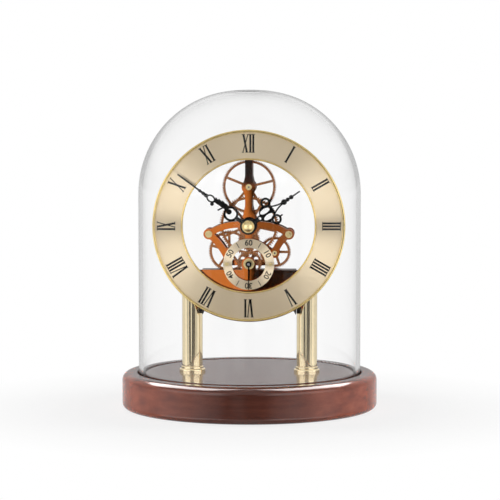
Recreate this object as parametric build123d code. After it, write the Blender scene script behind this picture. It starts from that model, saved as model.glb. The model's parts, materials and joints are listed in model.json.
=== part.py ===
from build123d import *
import math
import os

os.makedirs("parts", exist_ok=True)

# A skeleton table clock under a glass dome, in millimetres. The front is -Y and up is +Z.
# The origin is on the table, under the middle of the base.

# Fits: radial gaps of fixed pieces and of turning ones, gaps beside sliding and turning pieces
seat_gap = 0.03
run_gap = 0.08
slide_gap = 0.2
free_gap = 0.6

# Wooden base and felt
base_rim = 10.0
base_top = 22.0
base_top_round = 4.5
base_foot_round = 3.5
disc_edge_round = 0.6
felt_inset = 11.0
felt_thickness = 1.0
felt_proud = 0.4

# Glass dome, its air round the dial, and the groove that it stands in
dome_air = 7.0
dome_wall = 2.5
dome_shoulder_rise = 19.0
dome_shoulder_inset = 5.0
dome_crown_radius = 107.0
dome_lip_round = 1.0
groove_depth = 4.0
groove_gap_outside = 0.8
groove_gap_inside = 1.5

# Columns, their feet and tie rods
column_radius = 6.25
column_below_seconds = 17.0
foot_flange_step = 1.1
foot_flange_height = 2.0
foot_flange_round = 0.8
foot_collar_step = 0.55
foot_collar_height = 1.4
foot_collar_round = 0.5
rod_radius = 2.0
rod_spare = 1.2
rod_nut_radius = 4.0
rod_nut_height = 3.2
washer_radius = 6.0
washer_thickness = 1.0
counterbore_gap = 1.0
counterbore_depth = 7.0

# Dial centre above the table, and the layers of the movement from front to back
dial_z = 111.0
bridge_front = -11.0
bridge_thickness = 2.0
cover_thickness = 1.6
wheel_thickness = 1.0
motion_gap = 0.4
clutch_gap = 0.6
layer_gap = 0.6
partition_gap = 0.8
partition_thickness = 1.2
rear_plate_thickness = 2.0

# Chapter ring with its polished rims
chapter_gap = 0.94
chapter_width = 15.5
chapter_thickness = 2.0
bezel_width = 1.5
bezel_proud = 1.0
bezel_round = 0.7
bezel_lip = 2.0
bezel_lip_thickness = 0.8
rim_width = 1.0
rim_proud = 0.6
rim_round = 0.4
stud_radius = 1.25
stud_spare = 0.6
top_stud_inset = 10.0
low_stud_side_gap = 0.85
low_stud_ear_gap = 0.6
stud_boss_radius = 2.6
ring_nut_radius = 2.9
ring_nut_height = 1.8

# Gear teeth: involute flanks, thinned for backlash
pressure_angle = math.radians(20)
tooth_addendum = 0.85
tooth_dedendum = 1.3
backlash = 0.1

# Going train: tooth counts and modules
centre_teeth, third_pinion_teeth, centre_module = 80, 10, 0.44
third_teeth, seconds_pinion_teeth, third_module = 75, 10, 0.33
centre_pinion_teeth, top_teeth, top_module = 44, 100, 0.322
seconds_teeth, idler_teeth, drive_teeth, rotor_teeth, drive_module = 48, 60, 30, 8, 0.3125

# Motion work of the hands
cannon_teeth, reverser_teeth, cannon_module = 12, 36, 0.36
hour_teeth, reverser_pinion_teeth = 40, 10

# Where the arbors stand, from the dial centre
seconds_drop = 23.0
idler_direction = math.radians(23.2)
drive_direction = math.radians(-90)
rotor_direction = math.radians(225)

# Wheel blanks: rim widths, hubs and spokes
rim_of_wheel = 1.35
wheel_hub_radius = 2.6
spoke_width = 1.5
spoke_count = 5
top_spoke_angle = 14.0
centre_spoke_angle = 60.0
third_spoke_angle = 235.0
idler_spoke_angle = 0.0
seconds_hole_radius = 1.35
seconds_hole_ring = 4.6
seconds_hole_count = 6

# Arbors
arbor_radius = 0.8
pivot_radius = 0.5
end_shake = 0.15
pivot_length = 1.5
third_arbor_radius = 1.0
minute_arbor_radius = 1.5
minute_thread_radius = 1.25
collet_radius = 3.0
collet_overlap = 0.2
collar_radius = 2.6
collar_width = 0.8
hour_pipe_radius = 2.5
reverser_hub_radius = 1.25
stud_head_radius = 1.3
stud_head_thickness = 0.25

# Bushes
top_bush_radius = 1.8
idler_bush_radius = 1.45
bush_proud = 0.3
centre_bush_radius = 4.0
centre_bush_proud = 1.0
seconds_bush_radius = 2.0
seconds_bush_flange = 3.3
seconds_bush_flange_thickness = 0.6

# Front bridge and rear plate
lug_x = 24.0
lug_drop = 5.0
lug_radius = 3.2
hub_radius = 5.7
top_arm_width = 4.4
top_pad_radius = 3.5
top_pillar_inset = 3.5
top_boss_radius = 4.3
boss_flare = 6.5
boss_flare_inset = 0.55
neck_flare_width = 7.6
neck_flare_start = 12.0
neck_flare_end = 4.5
side_arm_width = 3.8
side_arm_rise = 2.6
lower_arm_width = 4.0
lower_arm_bow = 1.2
idler_boss_radius = 2.9
third_boss_radius = 2.4
stub_width = 4.4
seat_inset = 1.0
seat_overhang = 0.7
seat_arm_angle = math.radians(167)
seat_screw_angle = math.radians(60)
seat_screw_inset = 2.8
crossbar_width = 3.6
rear_foot_drop = 7.8
rear_screw_drop = 5.4
pillar_radius = 2.5
screw_radius = 1.0
screw_head_radius = 2.1
screw_head_height = 1.0
screw_slot_width = 0.5
screw_slot_depth = 0.5
screw_slot_angle = 60.0
screw_depth = 4.0
foot_screw_depth = 1.0

# Small seconds dial
dial_ring_gap = 2.2
dial_width = 5.3
dial_thickness = 1.0
rivet_inset = 3.1
rivet_radius = 0.75
rivet_head_radius = 1.1
rivet_head_height = 0.5

# Hands: angles are clockwise from twelve
hour_angle = 55.5
minute_angle = 306.5
seconds_angle = 180.0
hand_thickness = 0.6
hour_hand_inset = 3.3
minute_hand_inset = 3.8
seconds_hand_length = 15.3
hour_hand_gap = 3.0
minute_hand_gap = 1.2
seconds_hand_gap = 1.2
seconds_hand_thickness = 0.4
minute_eye_radius = 4.9
hour_eye_radius = 4.2
seconds_eye_radius = 1.8
hand_line = 0.9
minute_neck = (9.0, 2.8, 2.0)
minute_crescent = (0.0, 12.8, 4.5, 3.2)
minute_curl = (0.3, 14.4, 1.6)
minute_leaf = [(1.6, 18.2, 1.7), (1.8, 20.4, 1.5), (1.5, 22.6, 1.4), (1.1, 24.6, 1.2), (-2.0, 25.3, 1.1)]
minute_spikes = [
    ((0.9, 18.4), (-3.0, 20.4)),
    ((1.8, 20.4), (3.4, 21.4)),
    ((1.5, 22.6), (3.0, 23.8)),
    ((1.1, 24.6), (2.6, 25.5)),
    ((-2.0, 25.3), (0.6, 25.3)),
]
minute_stem = ((0.7, 16.6), (0.4, 25.6), 1.5)
minute_loop = (0.2, 27.8, 2.2, 2.9)
minute_beads = [(0.0, 31.2, 1.2), (0.0, 33.2, 1.1), (0.0, 35.8, 0.95)]
minute_tip = (30.4, 37.6, 1.5, 1.0)
hour_neck = (9.6, 2.8, 2.4)
hour_eyelet = (0.0, 8.4, 1.8, 0.85)
hour_body = (13.6, 5.2, 4.7)
hour_window = (2.1, 13.5, 1.5, 3.3)
hour_lobe = (5.9, 16.4, 3.1, 1.8)
hour_spike = ((5.7, 18.6), (5.6, 20.9))
hour_strut = ((2.8, 17.0), (0.3, 25.4), 0.6)
hour_beads = [(0.0, 25.8, 1.7), (0.0, 28.4, 1.2), (0.0, 31.0, 1.3)]
hour_tip = (25.0, 31.0, 1.7, 1.0)
tip_width = 0.85
tip_overlap = 1.0
cap_radius = 3.75
cap_rim_height = 0.8
cap_dome_radius = 3.2
cap_height = 3.0
cap_crown = 1.0
knob_radius = 6.0
knob_gap = 2.8
knob_width = 6.0
knob_notches = 24
knob_notch_radius = 0.45
spring_radius = 3.5
spring_thickness = 0.25

# Movement case
case_wall = 1.6
case_skirt_drop = 2.8
case_skirt_width = 2.4
case_skirt_tip = 0.4
case_skirt_curve = 0.45
case_below_seconds = 3.6
ear_thickness = 3.5
cover_reach = 9.5
cover_tab_radius = 4.2
cover_tab_overlap = 1.0
post_radius = 2.5
upper_post_inset = 2.85
upper_post_drop = 6.8
lower_post_inset = 4.75
lower_post_rise = 3.6

# Battery, its contacts and door
battery_radius = 7.25
battery_length = 50.5
battery_nub_radius = 2.75
battery_nub_length = 1.0
battery_end_room = 1.4
battery_floor_gap = 0.35
battery_roof_gap = 1.35
battery_rear_gap = 1.3
cradle_x = 15.0
cradle_width = 3.0
contact_size = 10.0
contact_thickness = 0.5
contact_button_radius = 2.4
door_thickness = 1.4
door_overlap = 0.9
door_lip_thickness = 0.6
door_hook_thickness = 0.7
door_hook_reach = 1.2
door_rib_height = 0.6
door_rib_width = 1.0
door_rib_pitch = 2.4
door_rib_count = 5
door_rib_length = 7.0

# Stepping motor and circuit board
magnet_radius = 2.7
magnet_gap = 1.8
magnet_length = 2.8
stator_depth = 2.7
stator_thickness = 1.0
stator_gap = 0.6
stator_eye_radius = 4.7
stator_leg_width = 2.4
stator_wall_gap = 6.25
stator_leg_offset = 1.7
core_width = 2.4
bobbin_end_gap = 2.1
bobbin_board_gap = 0.7
bobbin_floor_gap = 0.5
bobbin_flange_radius = 3.7
bobbin_flange_thickness = 0.8
bobbin_barrel_radius = 2.2
coil_radius = 3.4
board_left = -17.5
board_right = 4.0
board_below_seconds = 13.2
board_height = 4.4
board_gap = 1.4
board_thickness = 1.0
board_post_radius = 1.3
board_post_inset = 3.0
chip_size = (4.0, 3.0, 1.0)
chip_x = -9.0
crystal_radius = 1.0
crystal_length = 5.5
crystal_x = -3.7

# Layers that follow from the sizes above
bridge_back = bridge_front + bridge_thickness
cover_front = bridge_back
cover_back = cover_front + cover_thickness
hour_layer = bridge_back + motion_gap
cannon_layer = hour_layer + wheel_thickness + motion_gap
centre_layer = cannon_layer + wheel_thickness + clutch_gap
top_layer = centre_layer + wheel_thickness + layer_gap
third_layer = top_layer + wheel_thickness + layer_gap
seconds_layer = third_layer + wheel_thickness + layer_gap
partition_front = seconds_layer + wheel_thickness + partition_gap
rear_plate_front = partition_front + partition_thickness
rear_plate_back = rear_plate_front + rear_plate_thickness
battery_y = rear_plate_front + slide_gap + battery_radius
bay_back = battery_y + battery_radius + battery_rear_gap
knob_front = rear_plate_back + knob_gap
magnet_front = cover_back + magnet_gap
stator_front = cover_back + stator_depth
board_front = cover_back + board_gap
chapter_back = bridge_front
chapter_front = chapter_back - chapter_thickness
dial_front = bridge_front - dial_thickness
seconds_hand_front = dial_front - seconds_hand_gap - seconds_hand_thickness
hour_hand_front = chapter_front - hour_hand_gap - hand_thickness
minute_hand_front = hour_hand_front - minute_hand_gap - hand_thickness


def mesh_distance(teeth_a, teeth_b, module):
    """The distance between the arbors of two wheels that mesh."""
    return module * (teeth_a + teeth_b) / 2


def root_radius(teeth, module):
    return module * teeth / 2 - tooth_dedendum * module


def tip_radius(teeth, module):
    return module * teeth / 2 + tooth_addendum * module


def beyond(spot, direction, distance):
    """The place at a distance from a spot, in a direction given in radians."""
    return (spot[0] + distance * math.cos(direction), spot[1] + distance * math.sin(direction))


def direction_of(start, end):
    return math.atan2(end[1] - start[1], end[0] - start[0])


centre_spot = (0.0, 0.0)
top_spot = (0.0, mesh_distance(centre_pinion_teeth, top_teeth, top_module))
seconds_spot = (0.0, -seconds_drop)
reverser_spot = (0.0, -mesh_distance(cannon_teeth, reverser_teeth, cannon_module))
third_reach = mesh_distance(centre_teeth, third_pinion_teeth, centre_module)
third_to_seconds = mesh_distance(third_teeth, seconds_pinion_teeth, third_module)
third_v = (third_to_seconds**2 - third_reach**2 - seconds_drop**2) / (2 * seconds_drop)
third_spot = (-math.sqrt(third_reach**2 - third_v**2), third_v)
idler_reach = mesh_distance(seconds_teeth, idler_teeth, drive_module)
drive_reach = mesh_distance(idler_teeth, drive_teeth, drive_module)
rotor_reach = mesh_distance(drive_teeth, rotor_teeth, drive_module)
idler_spot = beyond(seconds_spot, idler_direction, idler_reach)
drive_spot = beyond(idler_spot, drive_direction, drive_reach)
rotor_spot = beyond(drive_spot, rotor_direction, rotor_reach)
hour_module = cannon_module * (cannon_teeth + reverser_teeth) / (hour_teeth + reverser_pinion_teeth)

# The chapter ring clears the top wheel, the dome clears the ring, and the base carries the dome
chapter_inner = top_spot[1] + tip_radius(top_teeth, top_module) + chapter_gap
chapter_outer = chapter_inner + chapter_width
bezel_radius = chapter_outer + seat_gap + bezel_width
dome_inner = bezel_radius + dome_air
dome_radius = dome_inner + dome_wall
dome_shoulder_z = dial_z + dome_shoulder_rise
dome_shoulder_radius = dome_radius - dome_shoulder_inset
base_radius = dome_radius + base_rim
felt_radius = base_radius - felt_inset
groove_floor = base_top - groove_depth
groove_inner = dome_inner - groove_gap_inside
groove_outer = dome_radius + groove_gap_outside
hour_hand_length = chapter_inner - hour_hand_inset
minute_hand_length = chapter_outer - minute_hand_inset

# The battery sets the inside of the case, and the case sets the columns apart
case_inner = battery_length / 2 + battery_end_room
case_half_width = case_inner + case_wall
case_top_drop = seconds_drop + case_below_seconds
board_top_drop = seconds_drop + board_below_seconds
board_bottom_drop = board_top_drop + board_height
core_drop = board_bottom_drop + bobbin_board_gap + bobbin_flange_radius
case_bottom_drop = core_drop + bobbin_flange_radius + bobbin_floor_gap + case_wall
case_top = dial_z - case_top_drop
case_bottom = dial_z - case_bottom_drop
battery_z = case_bottom + case_wall + battery_floor_gap + battery_radius
bay_top = battery_z + battery_radius + battery_roof_gap + case_wall
column_x = case_half_width + slide_gap + column_radius
column_top = dial_z - seconds_drop - column_below_seconds
ear_top = column_top + ear_thickness
foot_collar_radius = column_radius + foot_collar_step
foot_radius = foot_collar_radius + foot_flange_step
foot_top = base_top + foot_flange_height + foot_collar_height
counterbore_radius = washer_radius + counterbore_gap
counterbore_top = felt_thickness + counterbore_depth
stator_left = stator_wall_gap - case_inner
stator_right = rotor_spot[0] - stator_leg_offset
bobbin_left = stator_left + stator_leg_width + bobbin_end_gap
bobbin_right = stator_right - stator_leg_width - bobbin_end_gap

# Rings, seats and fixing places, from the dial centre
lug = (lug_x, -lug_drop)
top_stud = (0.0, chapter_inner + top_stud_inset)
top_pillar = (0.0, chapter_inner + top_pillar_inset)
low_stud = (
    case_half_width + ring_nut_radius + low_stud_side_gap,
    ear_top - dial_z + ring_nut_radius + low_stud_ear_gap,
)
cover_disc_radius = chapter_inner + cover_reach
upper_post = (case_half_width - upper_post_inset, -case_top_drop - upper_post_drop)
lower_post = (case_half_width - lower_post_inset, -case_bottom_drop + lower_post_rise)
dial_outer = chapter_inner - seconds_drop - dial_ring_gap
dial_inner = dial_outer - dial_width
seat_inner = dial_inner + seat_inset
seat_outer = dial_outer - seat_overhang
seat_screw_ring = dial_inner + seat_screw_inset
seat_screw = beyond(seconds_spot, -seat_screw_angle, seat_screw_ring)
rivet_ring = dial_inner + rivet_inset
rivet_spots = [(-rivet_ring, -seconds_drop), (rivet_ring, -seconds_drop)]


# Shared shapes
def dial_plane(y):
    """A plane that faces the front, with its origin at the dial centre."""
    return Plane(origin=(0, y, dial_z), x_dir=(1, 0, 0), z_dir=(0, -1, 0))


def plate(sketch, front, back):
    """A sketch about the dial centre, made solid between two depths."""
    return extrude(dial_plane(back) * sketch, back - front)


def rod(radius, front, back, spot=centre_spot):
    return plate(Pos(*spot) * Circle(radius), front, back)


def pipe(radius, bore, front, back, spot=centre_spot):
    return plate(Pos(*spot) * (Circle(radius) - Circle(bore)), front, back)


def post(radius, bottom, top, x=0.0, y=0.0):
    return Pos(x, y, (bottom + top) / 2) * Cylinder(radius, top - bottom)


def block(left, right, front, back, bottom, top):
    size = (right - left, back - front, top - bottom)
    return Pos((left + right) / 2, (front + back) / 2, (bottom + top) / 2) * Box(*size)


def strip(left, right, low, high):
    """A flat rectangle about the dial centre."""
    return Pos((left + right) / 2, (low + high) / 2) * Rectangle(right - left, high - low)


def bar(start, end, width):
    """A flat bar between two places, square at its ends."""
    length = math.dist(start, end)
    middle = ((start[0] + end[0]) / 2, (start[1] + end[1]) / 2)
    return Pos(*middle) * Rot(0, 0, math.degrees(direction_of(start, end))) * Rectangle(length, width)


def bent_arm(start, end, bow, width):
    """A flat arm along an arc from start to end, bowed to the left of its way, with round ends."""
    side = direction_of(start, end) + math.pi / 2
    middle = ((start[0] + end[0]) / 2, (start[1] + end[1]) / 2)
    return SlotArc(ThreePointArc(start, beyond(middle, side, bow), end), width)


def rounded_face(corners):
    """A flat face from corners, each with its rounding radius."""
    points = [(across, along) for across, along, _ in corners]
    radii = [radius for _, _, radius in corners]
    return make_face(FilletPolyline(*points, radius=radii, close=True))


def turned_up(corners):
    """A piece turned about the vertical axis, from corners of radius, height and rounding."""
    return revolve(Plane.XZ * rounded_face(corners), Axis.Z)


def turned(corners, spot=centre_spot):
    """A piece turned about a front to back axis, from corners of radius, depth and rounding."""
    return Pos(spot[0], 0, dial_z + spot[1]) * revolve(rounded_face(corners), Axis.Y)


def mirrored(spot):
    return (-spot[0], spot[1])


def both_sides(spot):
    return [mirrored(spot), spot]


def nut(radius, bore):
    return RegularPolygon(radius, 6) - Circle(bore)


def screw(spot, seat, tip, slotted=False):
    """A cheese-head screw along the depth axis: its head stands on the seat, away from its tip."""
    inward = 1 if tip > seat else -1
    head_end = seat - inward * screw_head_height
    made = rod(screw_head_radius, min(seat, head_end), max(seat, head_end), spot)
    made += rod(screw_radius, min(seat, tip), max(seat, tip), spot)
    if slotted:
        slot_length = 2 * screw_head_radius + free_gap
        groove = Pos(*spot) * Rot(0, 0, screw_slot_angle) * Rectangle(slot_length, screw_slot_width)
        slot_end = head_end + inward * screw_slot_depth
        made -= plate(groove, min(head_end, slot_end), max(head_end, slot_end))
    return made


# Gears
def involute(angle):
    return math.tan(angle) - angle


def gear(teeth, module, phase):
    """The outline of a toothed wheel; phase is the direction of one tooth, in radians."""
    pitch = module * teeth / 2
    foundation = pitch * math.cos(pressure_angle)
    tip = pitch + tooth_addendum * module
    root = pitch - tooth_dedendum * module
    half_tooth = (math.pi * module / 2 - backlash) / (2 * pitch) + involute(pressure_angle)
    flank = []
    for radius in sorted({root, max(root, foundation), tip}):
        angle = math.acos(min(1.0, foundation / radius))
        flank.append((radius, half_tooth - involute(angle)))
    points = []
    for tooth in range(teeth):
        middle = phase + 2 * math.pi * tooth / teeth
        points += [beyond(centre_spot, middle - half, radius) for radius, half in flank]
        points += [beyond(centre_spot, middle + half, radius) for radius, half in reversed(flank)]
    return make_face(Polyline(*points, close=True))


def meshing_phase(phase, teeth, direction, other_teeth):
    """The phase of a wheel whose gap takes a tooth of the first wheel, in the direction between them."""
    return direction + math.pi + math.pi / other_teeth + (direction - phase) * teeth / other_teeth


def spoked_wheel(teeth, module, phase, bore, hub, spoke_angle):
    """A toothed rim on spokes; the spoke angle is in degrees from the right, anticlockwise."""
    inside = root_radius(teeth, module) - rim_of_wheel
    wheel = gear(teeth, module, phase) - Circle(inside) + Circle(hub)
    for spoke in range(spoke_count):
        way = math.radians(spoke_angle + 360 * spoke / spoke_count)
        wheel += bar(centre_spot, beyond(centre_spot, way, inside + rim_of_wheel / 2), spoke_width)
    return wheel - Circle(bore)


seconds_phase = 0.0
seconds_pinion_phase = 0.0
third_phase = meshing_phase(
    seconds_pinion_phase, seconds_pinion_teeth, direction_of(seconds_spot, third_spot), third_teeth
)
third_pinion_phase = 0.0
centre_phase = meshing_phase(
    third_pinion_phase, third_pinion_teeth, direction_of(third_spot, centre_spot), centre_teeth
)
centre_pinion_phase = 0.0
top_phase = meshing_phase(
    centre_pinion_phase, centre_pinion_teeth, direction_of(centre_spot, top_spot), top_teeth
)
idler_phase = meshing_phase(seconds_phase, seconds_teeth, idler_direction, idler_teeth)
drive_phase = meshing_phase(idler_phase, idler_teeth, drive_direction, drive_teeth)
rotor_phase = meshing_phase(drive_phase, drive_teeth, rotor_direction, rotor_teeth)
cannon_phase = 0.0
reverser_direction = direction_of(centre_spot, reverser_spot)
reverser_phase = meshing_phase(cannon_phase, cannon_teeth, reverser_direction, reverser_teeth)
hour_phase = 0.0
reverser_pinion_phase = meshing_phase(hour_phase, hour_teeth, reverser_direction, reverser_pinion_teeth)


# Base, felt, columns and dome
def wood_base():
    corners = [
        (0, felt_thickness, 0),
        (felt_radius, felt_thickness, 0),
        (felt_radius, felt_proud, 0),
        (base_radius, felt_proud, base_foot_round),
        (base_radius, base_top, base_top_round),
        (groove_outer, base_top, disc_edge_round),
        (groove_outer, groove_floor, 0),
        (groove_inner, groove_floor, 0),
        (groove_inner, base_top, disc_edge_round),
        (0, base_top, 0),
    ]
    made = turned_up(corners)
    for x in (-column_x, column_x):
        made -= post(rod_radius + slide_gap, 0, base_top, x)
        made -= post(counterbore_radius, 0, counterbore_top, x)
    return made


def felt_pad():
    return post(felt_radius - slide_gap, 0, felt_thickness)


def column(x):
    return post(column_radius, foot_top, column_top, x) - post(rod_radius + slide_gap, 0, column_top, x)


def column_foot(x):
    bore = rod_radius + slide_gap
    collar_bottom = base_top + foot_flange_height
    corners = [
        (bore, base_top, 0),
        (foot_radius, base_top, 0),
        (foot_radius, collar_bottom, foot_flange_round),
        (foot_collar_radius, collar_bottom, 0),
        (foot_collar_radius, foot_top, foot_collar_round),
        (bore, foot_top, 0),
    ]
    return Pos(x, 0, 0) * turned_up(corners)


low_nut_top = counterbore_top - washer_thickness


def tie_rods():
    bottom = low_nut_top - rod_nut_height - rod_spare
    top = ear_top + rod_nut_height + rod_spare
    return post(rod_radius, bottom, top, -column_x) + post(rod_radius, bottom, top, column_x)


def tie_rod_fasteners():
    """A nut above each ear and a nut and washer under the base."""
    made = Part()
    bore = rod_radius + seat_gap
    for x in (-column_x, column_x):
        for bottom in (low_nut_top - rod_nut_height, ear_top):
            made += extrude(Pos(x, 0, bottom) * nut(rod_nut_radius, bore), rod_nut_height)
        washer = Circle(washer_radius) - Circle(bore)
        made += extrude(Pos(x, 0, low_nut_top) * washer, washer_thickness)
    return made


def dome_outline(inset):
    """Side, shoulder arc and crown arc of the dome, from its foot to its apex."""
    side = dome_radius - inset
    shoulder = dome_shoulder_radius - inset
    crown = dome_crown_radius - inset
    drop = math.sqrt((dome_crown_radius - dome_shoulder_radius) ** 2 - dome_shoulder_inset**2)
    crown_z = dome_shoulder_z - drop
    lean = math.atan2(drop, dome_shoulder_inset)
    shoulder_centre = (dome_shoulder_inset, dome_shoulder_z)
    crown_centre = (0, crown_z)
    foot = (side, groove_floor)
    springing = (side, dome_shoulder_z)
    shoulder_arc = ThreePointArc(
        springing, beyond(shoulder_centre, lean / 2, shoulder), beyond(shoulder_centre, lean, shoulder)
    )
    half_way = (lean + math.pi / 2) / 2
    crown_arc = ThreePointArc(
        beyond(crown_centre, lean, crown), beyond(crown_centre, half_way, crown), (0, crown_z + crown)
    )
    return Line(foot, springing), shoulder_arc, crown_arc


def glass_dome():
    outside = dome_outline(0)
    inside = dome_outline(dome_wall)
    foot = Line(outside[0] @ 0, inside[0] @ 0)
    apex = Line(outside[2] @ 1, inside[2] @ 1)
    made = revolve(Plane.XZ * make_face([*outside, *inside, foot, apex]), Axis.Z)
    lip = made.edges().filter_by(GeomType.CIRCLE).group_by(Axis.Z)[0]
    return fillet(lip, dome_lip_round)


# Movement case and what is in it
wheels_over_case = [
    (third_spot, tip_radius(third_teeth, third_module), third_layer),
    (seconds_spot, tip_radius(seconds_teeth, drive_module), seconds_layer),
    (drive_spot, tip_radius(drive_teeth, drive_module), seconds_layer),
]
posts_of_case = both_sides(upper_post) + both_sides(lower_post)
board_posts = [
    (board_left + board_post_inset, -(board_top_drop + board_bottom_drop) / 2),
    (board_right - board_post_inset, -(board_top_drop + board_bottom_drop) / 2),
]
rear_screw_x = math.sqrt(seat_screw_ring**2 - rear_screw_drop**2)
rear_screw = (rear_screw_x, -seconds_drop - rear_screw_drop)
door_bottom = case_bottom + door_lip_thickness + slide_gap
door_top = bay_top - door_lip_thickness - slide_gap
door_front = bay_back + slide_gap / 2
door_back = door_front + door_thickness
hook_front = door_back + slide_gap / 2
hook_back = hook_front + door_hook_thickness


def door_lips():
    """The two lips that the battery door slides in, with their hooks."""
    left, right = -case_half_width, case_half_width
    lips = block(left, right, bay_back, hook_back, bay_top - door_lip_thickness, bay_top)
    lips += block(left, right, bay_back, hook_back, case_bottom, case_bottom + door_lip_thickness)
    hook_low = bay_top - door_lip_thickness - door_hook_reach
    lips += block(left, right, hook_front, hook_back, hook_low, bay_top)
    hook_high = case_bottom + door_lip_thickness + door_hook_reach
    return lips + block(left, right, hook_front, hook_back, case_bottom, hook_high)


def movement_case():
    left, right = -case_half_width, case_half_width
    made = block(left, right, cover_back, rear_plate_front, case_bottom, case_top)
    made -= block(
        -case_inner, case_inner, cover_back, partition_front, case_bottom + case_wall, case_top - case_wall
    )
    bay = block(left, right, rear_plate_front, bay_back, case_bottom, bay_top)
    bay -= block(
        -case_inner, case_inner, rear_plate_front, bay_back, case_bottom + case_wall, bay_top - case_wall
    )
    made += bay + door_lips()
    for side in (-1, 1):
        made += case_skirt(side)
    for x in (-column_x, column_x):
        ear = post(column_radius, column_top, ear_top, x)
        inner = math.copysign(case_inner + case_wall / 2, x)
        low_x, high_x = sorted((inner, x))
        ear += block(low_x, high_x, -column_radius, column_radius, column_top, ear_top)
        made += ear - block(-case_inner, case_inner, -column_radius, column_radius, column_top, ear_top)
        made -= post(rod_radius + slide_gap, column_top, ear_top, x)
    for spot in posts_of_case:
        made += pipe(post_radius, screw_radius + seat_gap, cover_back, partition_front, spot)
    for spot in board_posts:
        made += rod(board_post_radius, board_front + board_thickness, partition_front, spot)
    for x in (-cradle_x, cradle_x):
        made += block(
            x - cradle_width / 2, x + cradle_width / 2, rear_plate_front, bay_back - slide_gap,
            case_bottom + case_wall, battery_z - battery_radius / 2,
        )
    made -= Pos(0, battery_y, battery_z) * Rot(0, 90, 0) * Cylinder(
        battery_radius + slide_gap / 2, 2 * case_inner
    )
    for spot, radius, layer in wheels_over_case:
        back = min(layer + wheel_thickness + free_gap, partition_front)
        made -= rod(radius + free_gap, layer - free_gap, back, spot)
    for spot in (drive_spot, rotor_spot):
        made -= rod(pivot_radius + run_gap, partition_front, rear_plate_front, spot)
    for spot in both_sides(rear_screw):
        made -= rod(screw_radius + seat_gap, partition_front, rear_plate_front, spot)
    return made


def case_skirt(side):
    """The curved corner of the case that reaches down beside a column."""
    low = case_bottom - dial_z
    top_in = (side * (case_half_width - case_skirt_width), low)
    top_out = (side * case_half_width, low)
    tip_out = (side * case_half_width, low - case_skirt_drop)
    tip_in = (side * (case_half_width - case_skirt_tip), low - case_skirt_drop)
    curve_x = side * (case_half_width - case_skirt_curve * case_skirt_width)
    curve = ThreePointArc(tip_in, (curve_x, low - case_skirt_curve * case_skirt_drop), top_in)
    shape = make_face([Line(top_in, top_out), Line(top_out, tip_out), Line(tip_out, tip_in), curve])
    return plate(shape, cover_back, rear_plate_front)


def front_cover():
    case_low = case_bottom - dial_z
    case_high = case_top - dial_z
    below_top = strip(-base_radius, base_radius, -base_radius, case_high)
    shape = Circle(cover_disc_radius) & below_top
    shape += strip(-case_half_width, case_half_width, case_low, case_high)
    shape += Pos(*seconds_spot) * Circle(cover_tab_radius)
    shape += strip(-cover_tab_radius, cover_tab_radius, case_high - cover_tab_overlap, seconds_spot[1])
    shape -= Pos(*seconds_spot) * Circle(seconds_bush_radius + seat_gap)
    for spot in posts_of_case:
        shape -= Pos(*spot) * Circle(screw_radius + seat_gap)
    for spot in both_sides(seat_screw):
        shape -= Pos(*spot) * Circle(screw_radius + seat_gap)
    made = plate(shape, cover_front, cover_back)
    for spot in both_sides(low_stud):
        made += rod(stud_boss_radius, bridge_front, cover_front, spot)
        made -= rod(stud_radius + slide_gap, bridge_front, cover_back, spot)
    for spot in (drive_spot, rotor_spot):
        made -= rod(pivot_radius + run_gap, cover_back - blind_depth, cover_back, spot)
    return made


blind_depth = cover_thickness - free_gap


def cover_screws():
    made = Part()
    for spot in posts_of_case:
        made += screw(spot, cover_front, cover_back + screw_depth, slotted=True)
    return made


def battery():
    body_end = battery_length / 2 - battery_nub_length
    corners_at = Pos(0, battery_y, battery_z) * Rot(0, 90, 0)
    body_length = battery_length - battery_nub_length
    made = corners_at * Pos(0, 0, -battery_nub_length / 2) * Cylinder(battery_radius, body_length)
    nub_middle = body_end + battery_nub_length / 2
    return made + corners_at * Pos(0, 0, nub_middle) * Cylinder(battery_nub_radius, battery_nub_length)


def contact(side):
    """A contact plate on an end wall of the battery bay, with a button that meets the cell."""
    half = contact_size / 2
    inner = case_inner - contact_thickness
    button_end = battery_length / 2 + seat_gap
    low_x, high_x = sorted((side * inner, side * case_inner))
    made = block(low_x, high_x, battery_y - half, battery_y + half, battery_z - half, battery_z + half)
    middle = side * (inner + button_end) / 2
    button = Cylinder(contact_button_radius, inner - button_end)
    return made + Pos(middle, battery_y, battery_z) * Rot(0, 90, 0) * button


def battery_door():
    half = case_inner + door_overlap
    made = block(-half, half, door_front, door_back, door_bottom, door_top)
    middle = (door_bottom + door_top) / 2
    for rib in range(door_rib_count):
        x = (rib - (door_rib_count - 1) / 2) * door_rib_pitch
        made += block(
            x - door_rib_width / 2, x + door_rib_width / 2, door_back, door_back + door_rib_height,
            middle - door_rib_length / 2, middle + door_rib_length / 2,
        )
    return made


def circuit_board():
    shape = strip(board_left, board_right, -board_bottom_drop, -board_top_drop)
    return plate(shape, board_front, board_front + board_thickness)


board_back = board_front + board_thickness
board_middle = -(board_top_drop + board_bottom_drop) / 2


def driver_chip():
    wide, tall, deep = chip_size
    shape = Pos(chip_x, board_middle) * Rectangle(wide, tall)
    return plate(shape, board_back, board_back + deep)


def quartz_crystal():
    lying = Pos(crystal_x, board_back + crystal_radius, dial_z + board_middle) * Rot(0, 90, 0)
    return lying * Cylinder(crystal_radius, crystal_length)


stator_back = stator_front + stator_thickness


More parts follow.
